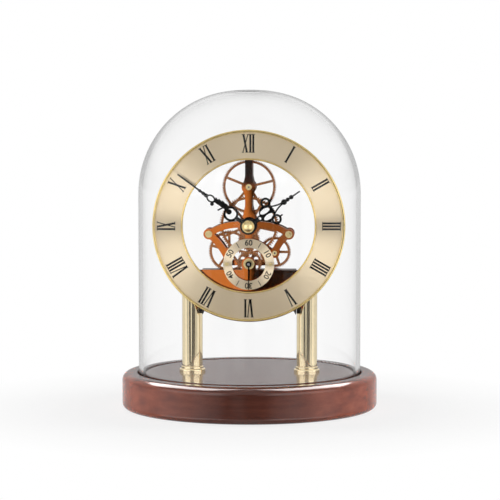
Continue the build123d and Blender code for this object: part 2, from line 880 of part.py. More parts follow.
def motor_stator():
    """A flat yoke round the rotor, with two legs that take the coil core behind them."""
    bottom = -core_drop - core_width / 2
    leg = stator_leg_width
    upper = rotor_spot[1] + leg / 2
    shape = Pos(*rotor_spot) * Circle(stator_eye_radius)
    shape += strip(stator_left, rotor_spot[0], upper, upper + leg)
    shape += strip(stator_left, stator_left + leg, bottom, upper + leg)
    shape += strip(stator_right - leg, stator_right, bottom, rotor_spot[1])
    shape -= Pos(*rotor_spot) * Circle(magnet_radius + stator_gap)
    return plate(shape, stator_front, stator_back)


def coil_core():
    shape = strip(stator_left, stator_right, -core_drop - core_width / 2, -core_drop + core_width / 2)
    return plate(shape, stator_back, stator_back + stator_thickness)


core_middle = stator_back + stator_thickness / 2


def along_core(radius, left, right):
    lying = Pos((left + right) / 2, core_middle, dial_z - core_drop) * Rot(0, 90, 0)
    return lying * Cylinder(radius, right - left)


def core_passage():
    reach = core_width / 2 + slide_gap
    return block(
        bobbin_left, bobbin_right, stator_back - slide_gap / 2, stator_back + stator_thickness + slide_gap,
        dial_z - core_drop - reach, dial_z - core_drop + reach,
    )


def coil_bobbin():
    made = along_core(bobbin_barrel_radius, bobbin_left, bobbin_right)
    made += along_core(bobbin_flange_radius, bobbin_left, bobbin_left + bobbin_flange_thickness)
    made += along_core(bobbin_flange_radius, bobbin_right - bobbin_flange_thickness, bobbin_right)
    return made - core_passage()


def motor_coil():
    left = bobbin_left + bobbin_flange_thickness
    right = bobbin_right - bobbin_flange_thickness
    return along_core(coil_radius, left, right) - along_core(bobbin_barrel_radius + seat_gap, left, right)


def plain_arbor(spot, radius, front_face, back_face, front_pivot, back_pivot):
    """A shaft between two faces, with a thin pivot at each end."""
    front = front_face + end_shake
    back = back_face - end_shake
    made = rod(radius, front, back, spot)
    return made + rod(pivot_radius, front - front_pivot, back + back_pivot, spot)


def case_arbor(spot):
    """An arbor that runs between the front cover and the partition of the case."""
    return plain_arbor(spot, arbor_radius, cover_back, partition_front, blind_depth, partition_thickness)


def rotor_pinion():
    teeth = Pos(*rotor_spot) * gear(rotor_teeth, drive_module, rotor_phase)
    return case_arbor(rotor_spot) + plate(teeth, seconds_layer, seconds_layer + wheel_thickness)


def rotor_magnet():
    return pipe(
        magnet_radius, arbor_radius + seat_gap, magnet_front, magnet_front + magnet_length, rotor_spot
    )


def drive_wheel():
    teeth = Pos(*drive_spot) * gear(drive_teeth, drive_module, drive_phase)
    return case_arbor(drive_spot) + plate(teeth, seconds_layer, seconds_layer + wheel_thickness)


# Frame plates
def frame_outline():
    """The arms that the front bridge and the rear plate share."""
    top = top_spot[1]
    half_arm = top_arm_width / 2
    half_flare = neck_flare_width / 2
    shape = strip(-half_arm, half_arm, top, top_stud[1])
    shape += strip(-top_pad_radius, top_pad_radius, top_pillar[1], top_stud[1])
    for spot in (top_pillar, top_stud):
        shape += Pos(*spot) * Circle(top_pad_radius)
    shape += Pos(*top_spot) * Circle(top_boss_radius)
    for tip in (top + boss_flare, top - boss_flare):
        side = top_boss_radius - boss_flare_inset
        shape += make_face(
            Polyline((-half_arm, tip), (half_arm, tip), (side, top), (-side, top), close=True)
        )
    shape += strip(-half_arm, half_arm, 0, top)
    neck = [(-half_arm, neck_flare_start), (half_arm, neck_flare_start)]
    neck += [(half_flare, neck_flare_end), (-half_flare, neck_flare_end)]
    shape += make_face(Polyline(*neck, close=True))
    shape += Circle(hub_radius)
    shape += bent_arm(centre_spot, lug, side_arm_rise, side_arm_width)
    shape += bent_arm(centre_spot, mirrored(lug), -side_arm_rise, side_arm_width)
    for spot in both_sides(lug):
        shape += Pos(*spot) * Circle(lug_radius)
    seat_end = beyond(seconds_spot, seat_arm_angle, (seat_inner + seat_outer) / 2)
    shape += bent_arm(mirrored(lug), seat_end, lower_arm_bow, lower_arm_width)
    shape += bent_arm(lug, idler_spot, -lower_arm_bow, lower_arm_width)
    shape += Pos(*idler_spot) * Circle(idler_boss_radius)
    shape += Pos(*third_spot) * Circle(third_boss_radius)
    shape += bar(beyond(seconds_spot, idler_direction, seat_inner), idler_spot, stub_width)
    shape += strip(-stub_width / 2, stub_width / 2, -seconds_drop + seat_inner, 0)
    return shape + Pos(*seconds_spot) * (Circle(seat_outer) - Circle(seat_inner))


def holes(sketch, spots, radius):
    for spot in spots:
        sketch -= Pos(*spot) * Circle(radius)
    return sketch


def front_bridge():
    shape = frame_outline()
    shape = holes(shape, [centre_spot], centre_bush_radius + seat_gap)
    shape = holes(shape, [top_spot], top_bush_radius + seat_gap)
    shape = holes(shape, [idler_spot], idler_bush_radius + seat_gap)
    shape = holes(shape, [third_spot], pivot_radius + run_gap)
    shape = holes(shape, both_sides(lug) + [top_pillar], screw_radius + seat_gap)
    shape = holes(shape, both_sides(seat_screw), screw_radius + seat_gap)
    shape = holes(shape, [top_stud], stud_radius + slide_gap)
    shape = holes(shape, rivet_spots, rivet_radius + seat_gap)
    shape = holes(shape, [reverser_spot], arbor_radius + seat_gap)
    return plate(shape, bridge_front, bridge_back)


def rear_plate():
    shape = frame_outline()
    shape += Pos(*seconds_spot) * Rectangle(2 * seat_inner, crossbar_width)
    foot_low = -seconds_drop - rear_foot_drop
    shape &= strip(-base_radius, base_radius, foot_low, base_radius)
    shape = holes(shape, [centre_spot], minute_arbor_radius + run_gap)
    shape = holes(shape, [top_spot, idler_spot, third_spot, seconds_spot], pivot_radius + run_gap)
    shape = holes(shape, both_sides(lug) + [top_pillar], screw_radius + seat_gap)
    shape = holes(shape, both_sides(rear_screw), screw_radius + seat_gap)
    return plate(shape, rear_plate_front, rear_plate_back)


def pillars():
    """Three pillars; the top one is riveted through the bridge, the others take screws at the front."""
    made = Part()
    for spot in both_sides(lug):
        pillar = rod(pillar_radius, bridge_back, rear_plate_front, spot)
        pillar -= rod(screw_radius + seat_gap, bridge_back, bridge_back + screw_depth, spot)
        made += pillar - rod(screw_radius + seat_gap, rear_plate_front - screw_depth, rear_plate_front, spot)
    top = rod(pillar_radius, bridge_back, rear_plate_front, top_pillar)
    top += rod(screw_radius, bridge_front, bridge_back, top_pillar)
    top -= rod(screw_radius + seat_gap, rear_plate_front - screw_depth, rear_plate_front, top_pillar)
    return made + top


def frame_screws():
    """Screws at the bridge's lugs and behind the rear plate, and those between the seat and the cover."""
    made = Part()
    for spot in both_sides(lug):
        made += screw(spot, bridge_front, bridge_back + screw_depth - free_gap, slotted=True)
    for spot in both_sides(lug) + [top_pillar]:
        made += screw(spot, rear_plate_back, rear_plate_front - screw_depth + free_gap, slotted=True)
    for spot in both_sides(rear_screw):
        made += screw(spot, rear_plate_back, rear_plate_front - foot_screw_depth, slotted=True)
    for spot in both_sides(seat_screw):
        made += screw(spot, cover_back, bridge_front, slotted=True)
    return made


def pivot_bushes():
    made = Part()
    front = bridge_front - bush_proud
    for spot, radius in ((top_spot, top_bush_radius), (idler_spot, idler_bush_radius)):
        made += pipe(radius, pivot_radius + run_gap, front, bridge_back, spot)
    return made


def centre_bush():
    return pipe(
        centre_bush_radius, hour_pipe_radius + run_gap, bridge_front - centre_bush_proud, bridge_back
    )


def seconds_bush():
    bore = arbor_radius + run_gap
    made = pipe(seconds_bush_radius, bore, cover_front, cover_back, seconds_spot)
    front = cover_front - seconds_bush_flange_thickness
    return made + pipe(seconds_bush_flange, bore, front, cover_front, seconds_spot)


# Dials
def seconds_dial():
    shape = holes(
        Pos(*seconds_spot) * (Circle(dial_outer) - Circle(dial_inner)), rivet_spots, rivet_radius + seat_gap
    )
    return plate(shape, dial_front, bridge_front)


def dial_rivets():
    made = Part()
    for spot in rivet_spots:
        made += rod(rivet_radius, dial_front, bridge_back, spot)
        made += rod(rivet_head_radius, dial_front - rivet_head_height, dial_front, spot)
    return made


def chapter_ring():
    return pipe(chapter_outer, chapter_inner, chapter_front, chapter_back)


def outer_bezel():
    """The polished rim round the chapter ring, with a lip behind the ring."""
    inner = chapter_outer + seat_gap
    front = chapter_front - bezel_proud
    back = chapter_back + bezel_lip_thickness
    corners = [
        (inner, front, bezel_round / 2),
        (bezel_radius, front, bezel_round),
        (bezel_radius, back, 0),
        (inner - bezel_lip, back, 0),
        (inner - bezel_lip, chapter_back, 0),
        (inner, chapter_back, 0),
    ]
    return turned(corners)


def inner_rim():
    outer = chapter_inner - seat_gap
    front = chapter_front - rim_proud
    corners = [
        (outer - rim_width, front, rim_round),
        (outer, front, rim_round),
        (outer, chapter_back, 0),
        (outer - rim_width, chapter_back, 0),
    ]
    return turned(corners)


def ring_stud_seats():
    """Each stud of the chapter ring with the face that its nut sits on."""
    return [(top_stud, bridge_back)] + [(spot, cover_back) for spot in both_sides(low_stud)]


def ring_studs():
    made = Part()
    for spot, seat in ring_stud_seats():
        made += rod(stud_radius, chapter_back, seat + ring_nut_height + stud_spare, spot)
    return made


def ring_nuts():
    made = Part()
    for spot, seat in ring_stud_seats():
        made += plate(Pos(*spot) * nut(ring_nut_radius, stud_radius + seat_gap), seat, seat + ring_nut_height)
    return made


# Going train
def seconds_arbor():
    """The seconds shaft runs in the cover's bush, and carries the pinion of the third wheel."""
    back = rear_plate_front - end_shake
    made = rod(arbor_radius, seconds_hand_front, back, seconds_spot)
    made += rod(pivot_radius, back, back + pivot_length, seconds_spot)
    teeth = Pos(*seconds_spot) * gear(seconds_pinion_teeth, third_module, seconds_pinion_phase)
    return made + plate(teeth, third_layer, third_layer + wheel_thickness)


def seconds_wheel():
    shape = gear(seconds_teeth, drive_module, seconds_phase) - Circle(arbor_radius + seat_gap)
    for hole in range(seconds_hole_count):
        way = 2 * math.pi * (hole + 0.5) / seconds_hole_count
        shape -= Pos(*beyond(centre_spot, way, seconds_hole_ring)) * Circle(seconds_hole_radius)
    return plate(Pos(*seconds_spot) * shape, seconds_layer, seconds_layer + wheel_thickness)


def third_arbor():
    made = plain_arbor(
        third_spot, third_arbor_radius, bridge_back, rear_plate_front, pivot_length, pivot_length
    )
    teeth = Pos(*third_spot) * gear(third_pinion_teeth, centre_module, third_pinion_phase)
    return made + plate(teeth, centre_layer, centre_layer + wheel_thickness)


def third_wheel():
    bore = third_arbor_radius + seat_gap
    shape = spoked_wheel(third_teeth, third_module, third_phase, bore, wheel_hub_radius, third_spoke_angle)
    return plate(Pos(*third_spot) * shape, third_layer, third_layer + wheel_thickness)


def centre_wheel():
    hub = root_radius(centre_pinion_teeth, top_module)
    shape = spoked_wheel(
        centre_teeth, centre_module, centre_phase, collet_radius + seat_gap, hub, centre_spoke_angle
    )
    return plate(shape, centre_layer, centre_layer + wheel_thickness)


collet_back = top_layer + wheel_thickness + collet_overlap


def centre_pinion():
    """The pinion of the top wheel, on the collet that turns on the minute arbor."""
    bore = minute_arbor_radius + run_gap
    made = pipe(collet_radius, bore, centre_layer, collet_back)
    teeth = gear(centre_pinion_teeth, top_module, centre_pinion_phase) - Circle(bore)
    return made + plate(teeth, top_layer, top_layer + wheel_thickness)


def top_arbor():
    return plain_arbor(top_spot, arbor_radius, bridge_back, rear_plate_front, pivot_length, pivot_length)


def top_wheel():
    shape = spoked_wheel(
        top_teeth, top_module, top_phase, arbor_radius + seat_gap, wheel_hub_radius, top_spoke_angle
    )
    return plate(Pos(*top_spot) * shape, top_layer, top_layer + wheel_thickness)


def idler_arbor():
    return plain_arbor(idler_spot, arbor_radius, bridge_back, rear_plate_front, pivot_length, pivot_length)


def idler_wheel():
    shape = spoked_wheel(
        idler_teeth, drive_module, idler_phase, arbor_radius + seat_gap, wheel_hub_radius, idler_spoke_angle
    )
    return plate(Pos(*idler_spot) * shape, seconds_layer, seconds_layer + wheel_thickness)


# Motion work
minute_hand_back = minute_hand_front + hand_thickness


def minute_arbor():
    """Hand seat, cannon pinion, clutch collar and the rear end that takes the knob, in one piece."""
    made = rod(minute_arbor_radius, minute_hand_back, knob_front + knob_width)
    made += rod(minute_thread_radius, minute_hand_front - cap_height + cap_crown, minute_hand_back)
    made += rod(collar_radius, collet_back + end_shake, collet_back + end_shake + collar_width)
    teeth = gear(cannon_teeth, cannon_module, cannon_phase)
    return made + plate(teeth, cannon_layer, cannon_layer + wheel_thickness)


def clutch_spring():
    """A dished spring washer between the cannon pinion and the centre wheel."""
    front = cannon_layer + wheel_thickness
    back = centre_layer
    bore = minute_arbor_radius + seat_gap
    corners = [
        (bore, front, 0),
        (bore, front + spring_thickness, 0),
        (spring_radius, back, 0),
        (spring_radius, back - spring_thickness, 0),
    ]
    return turned(corners)


def hour_wheel():
    bore = minute_arbor_radius + run_gap
    made = pipe(hour_pipe_radius, bore, hour_hand_front, hour_layer + wheel_thickness)
    teeth = gear(hour_teeth, hour_module, hour_phase) - Circle(bore)
    return made + plate(teeth, hour_layer, hour_layer + wheel_thickness)


reverser_back = cannon_layer + wheel_thickness


def reverser():
    bore = arbor_radius + run_gap
    made = pipe(reverser_hub_radius, bore, hour_layer, reverser_back, reverser_spot)
    pinion = gear(reverser_pinion_teeth, hour_module, reverser_pinion_phase) - Circle(bore)
    made += plate(Pos(*reverser_spot) * pinion, hour_layer, hour_layer + wheel_thickness)
    wheel = gear(reverser_teeth, cannon_module, reverser_phase) - Circle(bore)
    return made + plate(Pos(*reverser_spot) * wheel, cannon_layer, reverser_back)


def reverser_stud():
    head_front = reverser_back + run_gap
    made = rod(arbor_radius, bridge_front, head_front, reverser_spot)
    return made + rod(stud_head_radius, head_front, head_front + stud_head_thickness, reverser_spot)


# Hands: drawn pointing up from the dial centre, then turned to the time
def ring_shape(across, along, outer, inner):
    return Pos(across, along) * (Circle(outer) - Circle(inner))


def bead(across, along, radius):
    return Pos(across, along) * Circle(radius)


def tapered(start, end, start_width, end_width):
    """A straight tapering blade up the hand, from one height to another."""
    half_start, half_end = start_width / 2, end_width / 2
    points = [(-half_start, start), (half_start, start), (half_end, end), (-half_end, end)]
    return make_face(Polyline(*points, close=True))


def stepped_tip(tip, length):
    """The thick part of a tip, then its fine end."""
    start, end, start_width, end_width = tip
    fine_end = tapered(end - tip_overlap, length, end_width, tip_width)
    return tapered(start, end, start_width, end_width) + fine_end


def turned_hand(shape, angle, front, thickness, spot=centre_spot):
    return plate(Pos(*spot) * Rot(0, 0, -angle) * shape, front, front + thickness)


def minute_hand():
    """Serpentine hand: neck, open crescent with a curl, notched leaf, small loop, beads and tip."""
    neck_end, neck_width, neck_end_width = minute_neck
    shape = Circle(minute_eye_radius) + tapered(0, neck_end, neck_width, neck_end_width)
    shape += ring_shape(*minute_crescent)
    for place in [minute_curl] + minute_leaf + minute_beads:
        shape += bead(*place)
    for start, end in minute_spikes:
        shape += bar(start, end, hand_line)
    shape += bar(*minute_stem)
    across, along, half_width, half_length = minute_loop
    loop = Ellipse(half_width, half_length) - Ellipse(half_width - hand_line, half_length - hand_line)
    shape += Pos(across, along) * loop
    shape += stepped_tip(minute_tip, minute_hand_length)
    shape -= Circle(minute_thread_radius + seat_gap)
    return turned_hand(shape, minute_angle, minute_hand_front, hand_thickness)


def hour_hand():
    """Serpentine hand: pierced neck, butterfly body with two lobes, two struts, beads and tip."""
    middle, half_width, half_length = hour_body
    window_across, window_along, window_width, window_length = hour_window
    lobe_across, lobe_along, lobe_outer, lobe_inner = hour_lobe
    neck_end, neck_width, neck_end_width = hour_neck
    eyelet_across, eyelet_along, eyelet_outer, eyelet_inner = hour_eyelet
    strut_start, strut_end, strut_bow = hour_strut
    shape = Circle(hour_eye_radius) + tapered(0, neck_end, neck_width, neck_end_width)
    shape += Pos(0, middle) * Ellipse(half_width, half_length)
    shape += bead(eyelet_across, eyelet_along, eyelet_outer)
    for side in (-1, 1):
        shape -= Pos(side * window_across, window_along) * Ellipse(window_width, window_length)
    for side in (-1, 1):
        shape += ring_shape(side * lobe_across, lobe_along, lobe_outer, lobe_inner)
        spike_start, spike_end = hour_spike
        shape += bar((side * spike_start[0], spike_start[1]), (side * spike_end[0], spike_end[1]), hand_line)
        low, high = (side * strut_start[0], strut_start[1]), (side * strut_end[0], strut_end[1])
        shape += bent_arm(low, high, side * strut_bow, hand_line)
    for place in hour_beads:
        shape += bead(*place)
    shape += stepped_tip(hour_tip, hour_hand_length)
    shape -= bead(eyelet_across, eyelet_along, eyelet_inner)
    shape -= Circle(hour_pipe_radius + seat_gap)
    return turned_hand(shape, hour_angle, hour_hand_front, hand_thickness)


def seconds_hand():
    shape = Circle(seconds_eye_radius) + tapered(0, seconds_hand_length, hand_line, hand_line / 2)
    shape -= Circle(arbor_radius + seat_gap)
    return turned_hand(shape, seconds_angle, seconds_hand_front, seconds_hand_thickness, seconds_spot)


def cap_nut():
    """The domed brass nut that holds the minute hand."""
    back = minute_hand_front
    rim_front = back - cap_rim_height
    top = back - cap_height
    shoulder = (cap_dome_radius, rim_front)
    rise = rim_front - top
    ball_radius = (cap_dome_radius**2 + rise**2) / (2 * rise)
    ball_centre = (0, top + ball_radius)
    half_way = (direction_of(ball_centre, shoulder) - math.pi / 2) / 2
    waist = beyond(ball_centre, half_way, ball_radius)
    outline = [
        Line((0, back), (cap_radius, back)),
        Line((cap_radius, back), (cap_radius, rim_front)),
        Line((cap_radius, rim_front), shoulder),
        ThreePointArc(shoulder, waist, (0, top)),
        Line((0, top), (0, back)),
    ]
    made = Pos(0, 0, dial_z) * revolve(make_face(outline), Axis.Y)
    return made - rod(minute_thread_radius + seat_gap, top + cap_crown - seat_gap, back)


def setting_knob():
    shape = Circle(knob_radius) - Circle(minute_arbor_radius + seat_gap)
    for notch in range(knob_notches):
        way = 2 * math.pi * notch / knob_notches
        shape -= Pos(*beyond(centre_spot, way, knob_radius)) * Circle(knob_notch_radius)
    return plate(shape, knob_front, knob_front + knob_width)


nodes = {
    "wood_base": wood_base(),
    "felt_pad": felt_pad(),
    "left_column": column(-column_x),
    "right_column": column(column_x),
    "left_column_foot": column_foot(-column_x),
    "right_column_foot": column_foot(column_x),
    "tie_rods": tie_rods(),
    "tie_rod_fasteners": tie_rod_fasteners(),
    "glass_dome": glass_dome(),
    "movement_case": movement_case(),
    "front_cover": front_cover(),
    "cover_screws": cover_screws(),
    "battery_door": battery_door(),
    "battery": battery(),
    "positive_contact": contact(1),
    "negative_contact": contact(-1),
    "circuit_board": circuit_board(),
    "driver_chip": driver_chip(),
    "quartz_crystal": quartz_crystal(),
    "motor_stator": motor_stator(),
    "coil_core": coil_core(),
    "coil_bobbin": coil_bobbin(),
    "motor_coil": motor_coil(),
    "rotor_magnet": rotor_magnet(),
    "rotor_pinion": rotor_pinion(),
    "drive_wheel": drive_wheel(),
    "front_bridge": front_bridge(),
    "rear_plate": rear_plate(),
    "pillars": pillars(),
    "frame_screws": frame_screws(),
    "pivot_bushes": pivot_bushes(),
    "centre_bush": centre_bush(),
    "seconds_bush": seconds_bush(),
    "seconds_dial": seconds_dial(),
    "dial_rivets": dial_rivets(),
    "chapter_ring": chapter_ring(),
    "outer_bezel": outer_bezel(),
    "inner_rim": inner_rim(),
    "ring_studs": ring_studs(),
    "ring_nuts": ring_nuts(),
    "seconds_arbor": seconds_arbor(),
    "seconds_wheel": seconds_wheel(),
    "seconds_hand": seconds_hand(),
    "third_arbor": third_arbor(),
    "third_wheel": third_wheel(),
    "centre_wheel": centre_wheel(),
    "centre_pinion": centre_pinion(),
    "top_arbor": top_arbor(),
    "top_wheel": top_wheel(),
    "idler_arbor": idler_arbor(),
    "idler_wheel": idler_wheel(),
    "minute_arbor": minute_arbor(),
    "clutch_spring": clutch_spring(),
    "minute_hand": minute_hand(),
    "cap_nut": cap_nut(),
    "setting_knob": setting_knob(),
    "hour_wheel": hour_wheel(),
    "hour_hand": hour_hand(),
    "reverser": reverser(),
    "reverser_stud": reverser_stud(),
}

for name, shape in nodes.items():
    export_step(shape, f"parts/{name}.step")
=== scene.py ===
import json
import math

import bmesh
import bpy
from mathutils import Matrix, Vector


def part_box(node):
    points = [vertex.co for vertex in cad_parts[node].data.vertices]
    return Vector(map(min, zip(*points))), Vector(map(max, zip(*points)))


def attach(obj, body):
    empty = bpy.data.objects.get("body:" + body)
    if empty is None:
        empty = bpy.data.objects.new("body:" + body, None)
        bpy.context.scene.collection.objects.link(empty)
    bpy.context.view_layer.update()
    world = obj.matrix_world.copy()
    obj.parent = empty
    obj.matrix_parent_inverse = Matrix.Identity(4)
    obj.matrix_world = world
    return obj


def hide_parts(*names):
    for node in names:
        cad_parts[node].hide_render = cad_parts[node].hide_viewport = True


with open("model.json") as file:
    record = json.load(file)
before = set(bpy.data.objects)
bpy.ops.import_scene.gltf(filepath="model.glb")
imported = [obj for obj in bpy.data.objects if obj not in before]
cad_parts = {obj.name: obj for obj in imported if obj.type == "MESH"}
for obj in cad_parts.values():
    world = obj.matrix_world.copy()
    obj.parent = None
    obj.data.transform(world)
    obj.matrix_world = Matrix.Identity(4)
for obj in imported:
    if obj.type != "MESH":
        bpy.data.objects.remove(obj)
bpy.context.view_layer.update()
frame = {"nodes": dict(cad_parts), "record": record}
nodes = frame["nodes"]

# Lengths are in metres
MM = 0.001

# Camera, fitted to the photograph: angles in degrees, lens and sensor in millimetres
camera_distance = 1.37
camera_height = 0.1982
camera_side = 0.26 * MM
camera_pitch = 4.28
camera_yaw = 2.65
camera_lens = 163.7
sensor_width = 36.0

# Smooth shading
smooth_angle = math.radians(30)
flat_face_weight = 100

# Numerals of the chapter ring
dial_centre = Vector((0.0, 0.0, 0.111))
print_thickness = 0.05 * MM
numerals = ["XII", "I", "II", "III", "IIII", "V", "VI", "VII", "VIII", "IX", "X", "XI"]
degrees_per_hour = 30
numeral_foot = 43.9 * MM
numeral_height = 10.9 * MM
thick_stroke = 1.15 * MM
thin_stroke = 0.58 * MM
serif_height = 0.35 * MM
serif_reach = 0.35 * MM
stroke_pitch = 1.75 * MM
diagonal_width = 3.3 * MM

# Figures and ticks of the small seconds dial
seconds_centre = Vector((0.0, 0.0, 0.088))
degrees_per_second = 6
figured_seconds = (60, 10, 20, 30, 40, 50)
figures_radius = 12.75 * MM
figure_size = 4.7 * MM
figure_weight = 0.07 * MM
ticked_seconds = (5, 25, 35, 55)
tick_inner = 11.4 * MM
tick_outer = 14.8 * MM
tick_width = 0.38 * MM

# Finely turned pieces; their outer sizes are those of the CAD nodes that they stand for
turn_segments = 192
corner_steps = 6
dome_arc_steps = 24
weld_distance = 0.001 * MM
dome_wall = 2.5 * MM
dome_lip_round = 1.0 * MM
dome_shoulder_z = 130.0 * MM
dome_shoulder_inset = 5.0 * MM
dome_crown_radius = 107.0 * MM
bezel_width = 1.5 * MM
bezel_round = 0.7 * MM
bezel_lip = 2.0 * MM
rim_width = 1.0 * MM
rim_round = 0.4 * MM

# Values between which most of a noise lies
noise_low = 0.3
noise_high = 0.7

# Materials: noise scales are per millimetre, and a stretch of 1 along each axis leaves a noise even
even = (1, 1, 1)
white = (1.0, 1.0, 1.0, 1.0)
black = (0.0, 0.0, 0.0, 1.0)
black_gloss = 0.12
metals = {
    "pale_gold": dict(
        colour=(0.90, 0.76, 0.50), roughness=0.07, contrast=0.06, scale=2.0, stretch=(1, 1, 0.03)
    ),
    "polished_brass": dict(colour=(0.94, 0.76, 0.39), roughness=0.32, contrast=0.1),
    "gold_rim": dict(colour=(0.84, 0.64, 0.26), roughness=0.2, contrast=0.1),
    "copper_plate": dict(colour=(0.60, 0.165, 0.03), roughness=0.02, contrast=0.08),
    "bronze": dict(colour=(0.60, 0.25, 0.10), roughness=0.25, contrast=0.2, scale=0.8),
    "steel": dict(colour=(0.56, 0.56, 0.57), roughness=0.2, stretch=(1, 6, 1), grain=0.004 * MM),
    "contact_plate": dict(colour=(0.72, 0.72, 0.73), roughness=0.15),
    "crystal_can": dict(colour=(0.70, 0.70, 0.71), roughness=0.16),
    "soft_iron": dict(colour=(0.34, 0.34, 0.35), roughness=0.35, stretch=(0.1, 1, 1), grain=0.006 * MM),
    "magnet": dict(colour=(0.16, 0.16, 0.17), roughness=0.4, contrast=0.25),
}
plastics = {
    "black_enamel": dict(
        colour=(0.004, 0.004, 0.004), roughness=0.4, grain=0.004 * MM, Specular_IOR_Level=black_gloss
    ),
    "dark_plastic": dict(colour=(0.016, 0.011, 0.009), roughness=0.45, grain=0.02 * MM),
    "green_board": dict(colour=(0.02, 0.11, 0.045), roughness=0.4, grain=0.01 * MM),
    "chip_black": dict(colour=(0.012, 0.012, 0.012), roughness=0.55, grain=0.01 * MM),
    "white_nylon": dict(colour=(0.72, 0.70, 0.66), roughness=0.4, grain=0.01 * MM),
}

# Floor: near its middle a share of it is plain white, and further out all of it
floor_radius = 0.36
floor_segments = 96
floor_fade = 0.20
floor_grey = (0.9, 0.9, 0.9, 1.0)
floor_white_share = 0.8

# Lamps: powers in watts
lamp_target = (0.0, 0.0, 0.08)
side_lamp_place = (1.15, 0.2, 0.22)
side_lamp_size = (0.5, 0.5)
side_lamp_power = 15.0
front_lamp_place = (-0.2, -1.2, 0.9)
front_lamp_size = (0.7, 0.7)
front_lamp_power = 1.0
rim_lamp_place = (0.62, 0.3, 1.0)
rim_lamp_size = (1.3, 1.0)
rim_lamp_power = 56.0
rim_lamp_turn = math.radians(46)

# The light that the room sheds on what isn't shiny
fill_brightness = 0.24

# What mirrors see of the room, as patches in degrees from the front and above the horizon: sides, heights,
# softness of both, and brightness. The room's patches are the same to the left and right, with a degree to
# spare where they reach straight ahead or straight behind. The stand's are on the sides that they name.
room_brightness = 0.6
ahead = -1
behind = 181
base_low = -9.5
column_low = -7.3
column_high = -1
base_heights = (base_low, column_low)
column_heights = (column_low, column_high)
edges = (0.5, 0.3)
room_patches = [
    ((20, 85), (-32, 25), (6, 6), 2.2),
    ((ahead, 18), (10, 70), (5, 5), 0.9),
    ((ahead, 18), (-70, -10), (5, 2), 0.9),
    ((100, behind), (12, 75), (10, 4), 0.9),
    ((ahead, behind), base_heights, edges, 0.5),
    ((50, 110), base_heights, (25, 0.3), 1.5),
    ((ahead, 22), base_heights, (12, 0.3), 0.0),
    ((ahead, 12), column_heights, edges, 0.42),
    ((12, 27), column_heights, edges, 0.06),
    ((27, 38), column_heights, edges, 0.18),
    ((38, 50), column_heights, edges, 0.85),
    ((50, 58), column_heights, edges, 0.38),
    ((58, 86), column_heights, edges, 1.0),
    ((86, behind), column_heights, edges, 0.82),
    ((145, behind), (base_low, column_high), (12, 0.3), 0.7),
]
stand_edges = (0.1, 0.1)
stand_left = -2.66
stand_right = 8
stand_dark = 0.01
stand_patches = [
    ((-14, stand_right), column_heights, stand_edges, 1.0),
    ((stand_left, stand_right), (-4.5, -3.4), stand_edges, 0.45),
    ((stand_left, stand_right), (column_low, -4.5), stand_edges, stand_dark),
    ((stand_left, stand_right), (-3.4, -2.6), stand_edges, stand_dark),
    ((-8, stand_right), (-2.6, 6), stand_edges, stand_dark),
]


# Node helpers
def shader_of(mat):
    return mat.node_tree.nodes["Principled BSDF"]


def new_material(name, **sockets):
    """A material with a principled shader, and the sockets that are the same all over it."""
    mat = bpy.data.materials.new(name)
    mat.use_nodes = True
    for socket, value in sockets.items():
        shader_of(mat).inputs[socket.replace("_", " ")].default_value = value
    return mat


def add(tree, kind, inputs=(), **settings):
    """Adds a node; inputs are pairs of a socket's name or number and a value or another node's output."""
    node = tree.nodes.new(kind)
    for key, value in settings.items():
        setattr(node, key, value)
    for key, value in inputs:
        if isinstance(value, bpy.types.NodeSocket):
            tree.links.new(value, node.inputs[key])
        else:
            node.inputs[key].default_value = value
    return node


def calc(tree, operation, *values):
    return add(tree, "ShaderNodeMath", list(enumerate(values)), operation=operation).outputs[0]


def vector_calc(tree, operation, *values):
    return add(tree, "ShaderNodeVectorMath", list(enumerate(values)), operation=operation).outputs


def object_place(tree):
    return add(tree, "ShaderNodeTexCoord").outputs["Object"]


def coordinates(tree, stretch):
    """Object coordinates in millimetres, stretched along each axis."""
    scale = tuple(s / MM for s in stretch)
    return add(tree, "ShaderNodeMapping", [("Vector", object_place(tree)), ("Scale", scale)]).outputs[0]


def noise(tree, scale, detail=3.0, stretch=even):
    inputs = [("Vector", coordinates(tree, stretch)), ("Scale", scale), ("Detail", detail)]
    return add(tree, "ShaderNodeTexNoise", inputs).outputs["Fac"]


def ramp(tree, value, stops):
    """A colour ramp; stops are pairs of a position and a colour."""
    node = add(tree, "ShaderNodeValToRGB", [("Fac", value)])
    elements = node.color_ramp.elements
    while len(elements) < len(stops):
        elements.new(0.5)
    for element, (position, colour) in zip(elements, stops):
        element.position = position
        element.color = (*colour, 1.0)
    return node.outputs["Color"]


def two_tone(tree, value, dark, light):
    """Takes the middle of a noise to the colours from dark to light."""
    return ramp(tree, value, [(noise_low, dark), (noise_high, light)])


def spread(tree, value, low, high):
    """Takes the middle of a noise to the range from low to high."""
    source = [("Value", value), ("From Min", noise_low), ("From Max", noise_high)]
    return add(tree, "ShaderNodeMapRange", [*source, ("To Min", low), ("To Max", high)]).outputs[0]


def link(mat, socket, value):
    mat.node_tree.links.new(value, shader_of(mat).inputs[socket])


def bump(mat, height, depth):
    """Bump from a height of 0 to 1, with its depth in metres."""
    made = add(mat.node_tree, "ShaderNodeBump", [("Height", height), ("Distance", depth), ("Strength", 1.0)])
    link(mat, "Normal", made.outputs[0])


def shades(colour, low, high):
    return [tuple(c * low for c in colour), tuple(c * high for c in colour)]


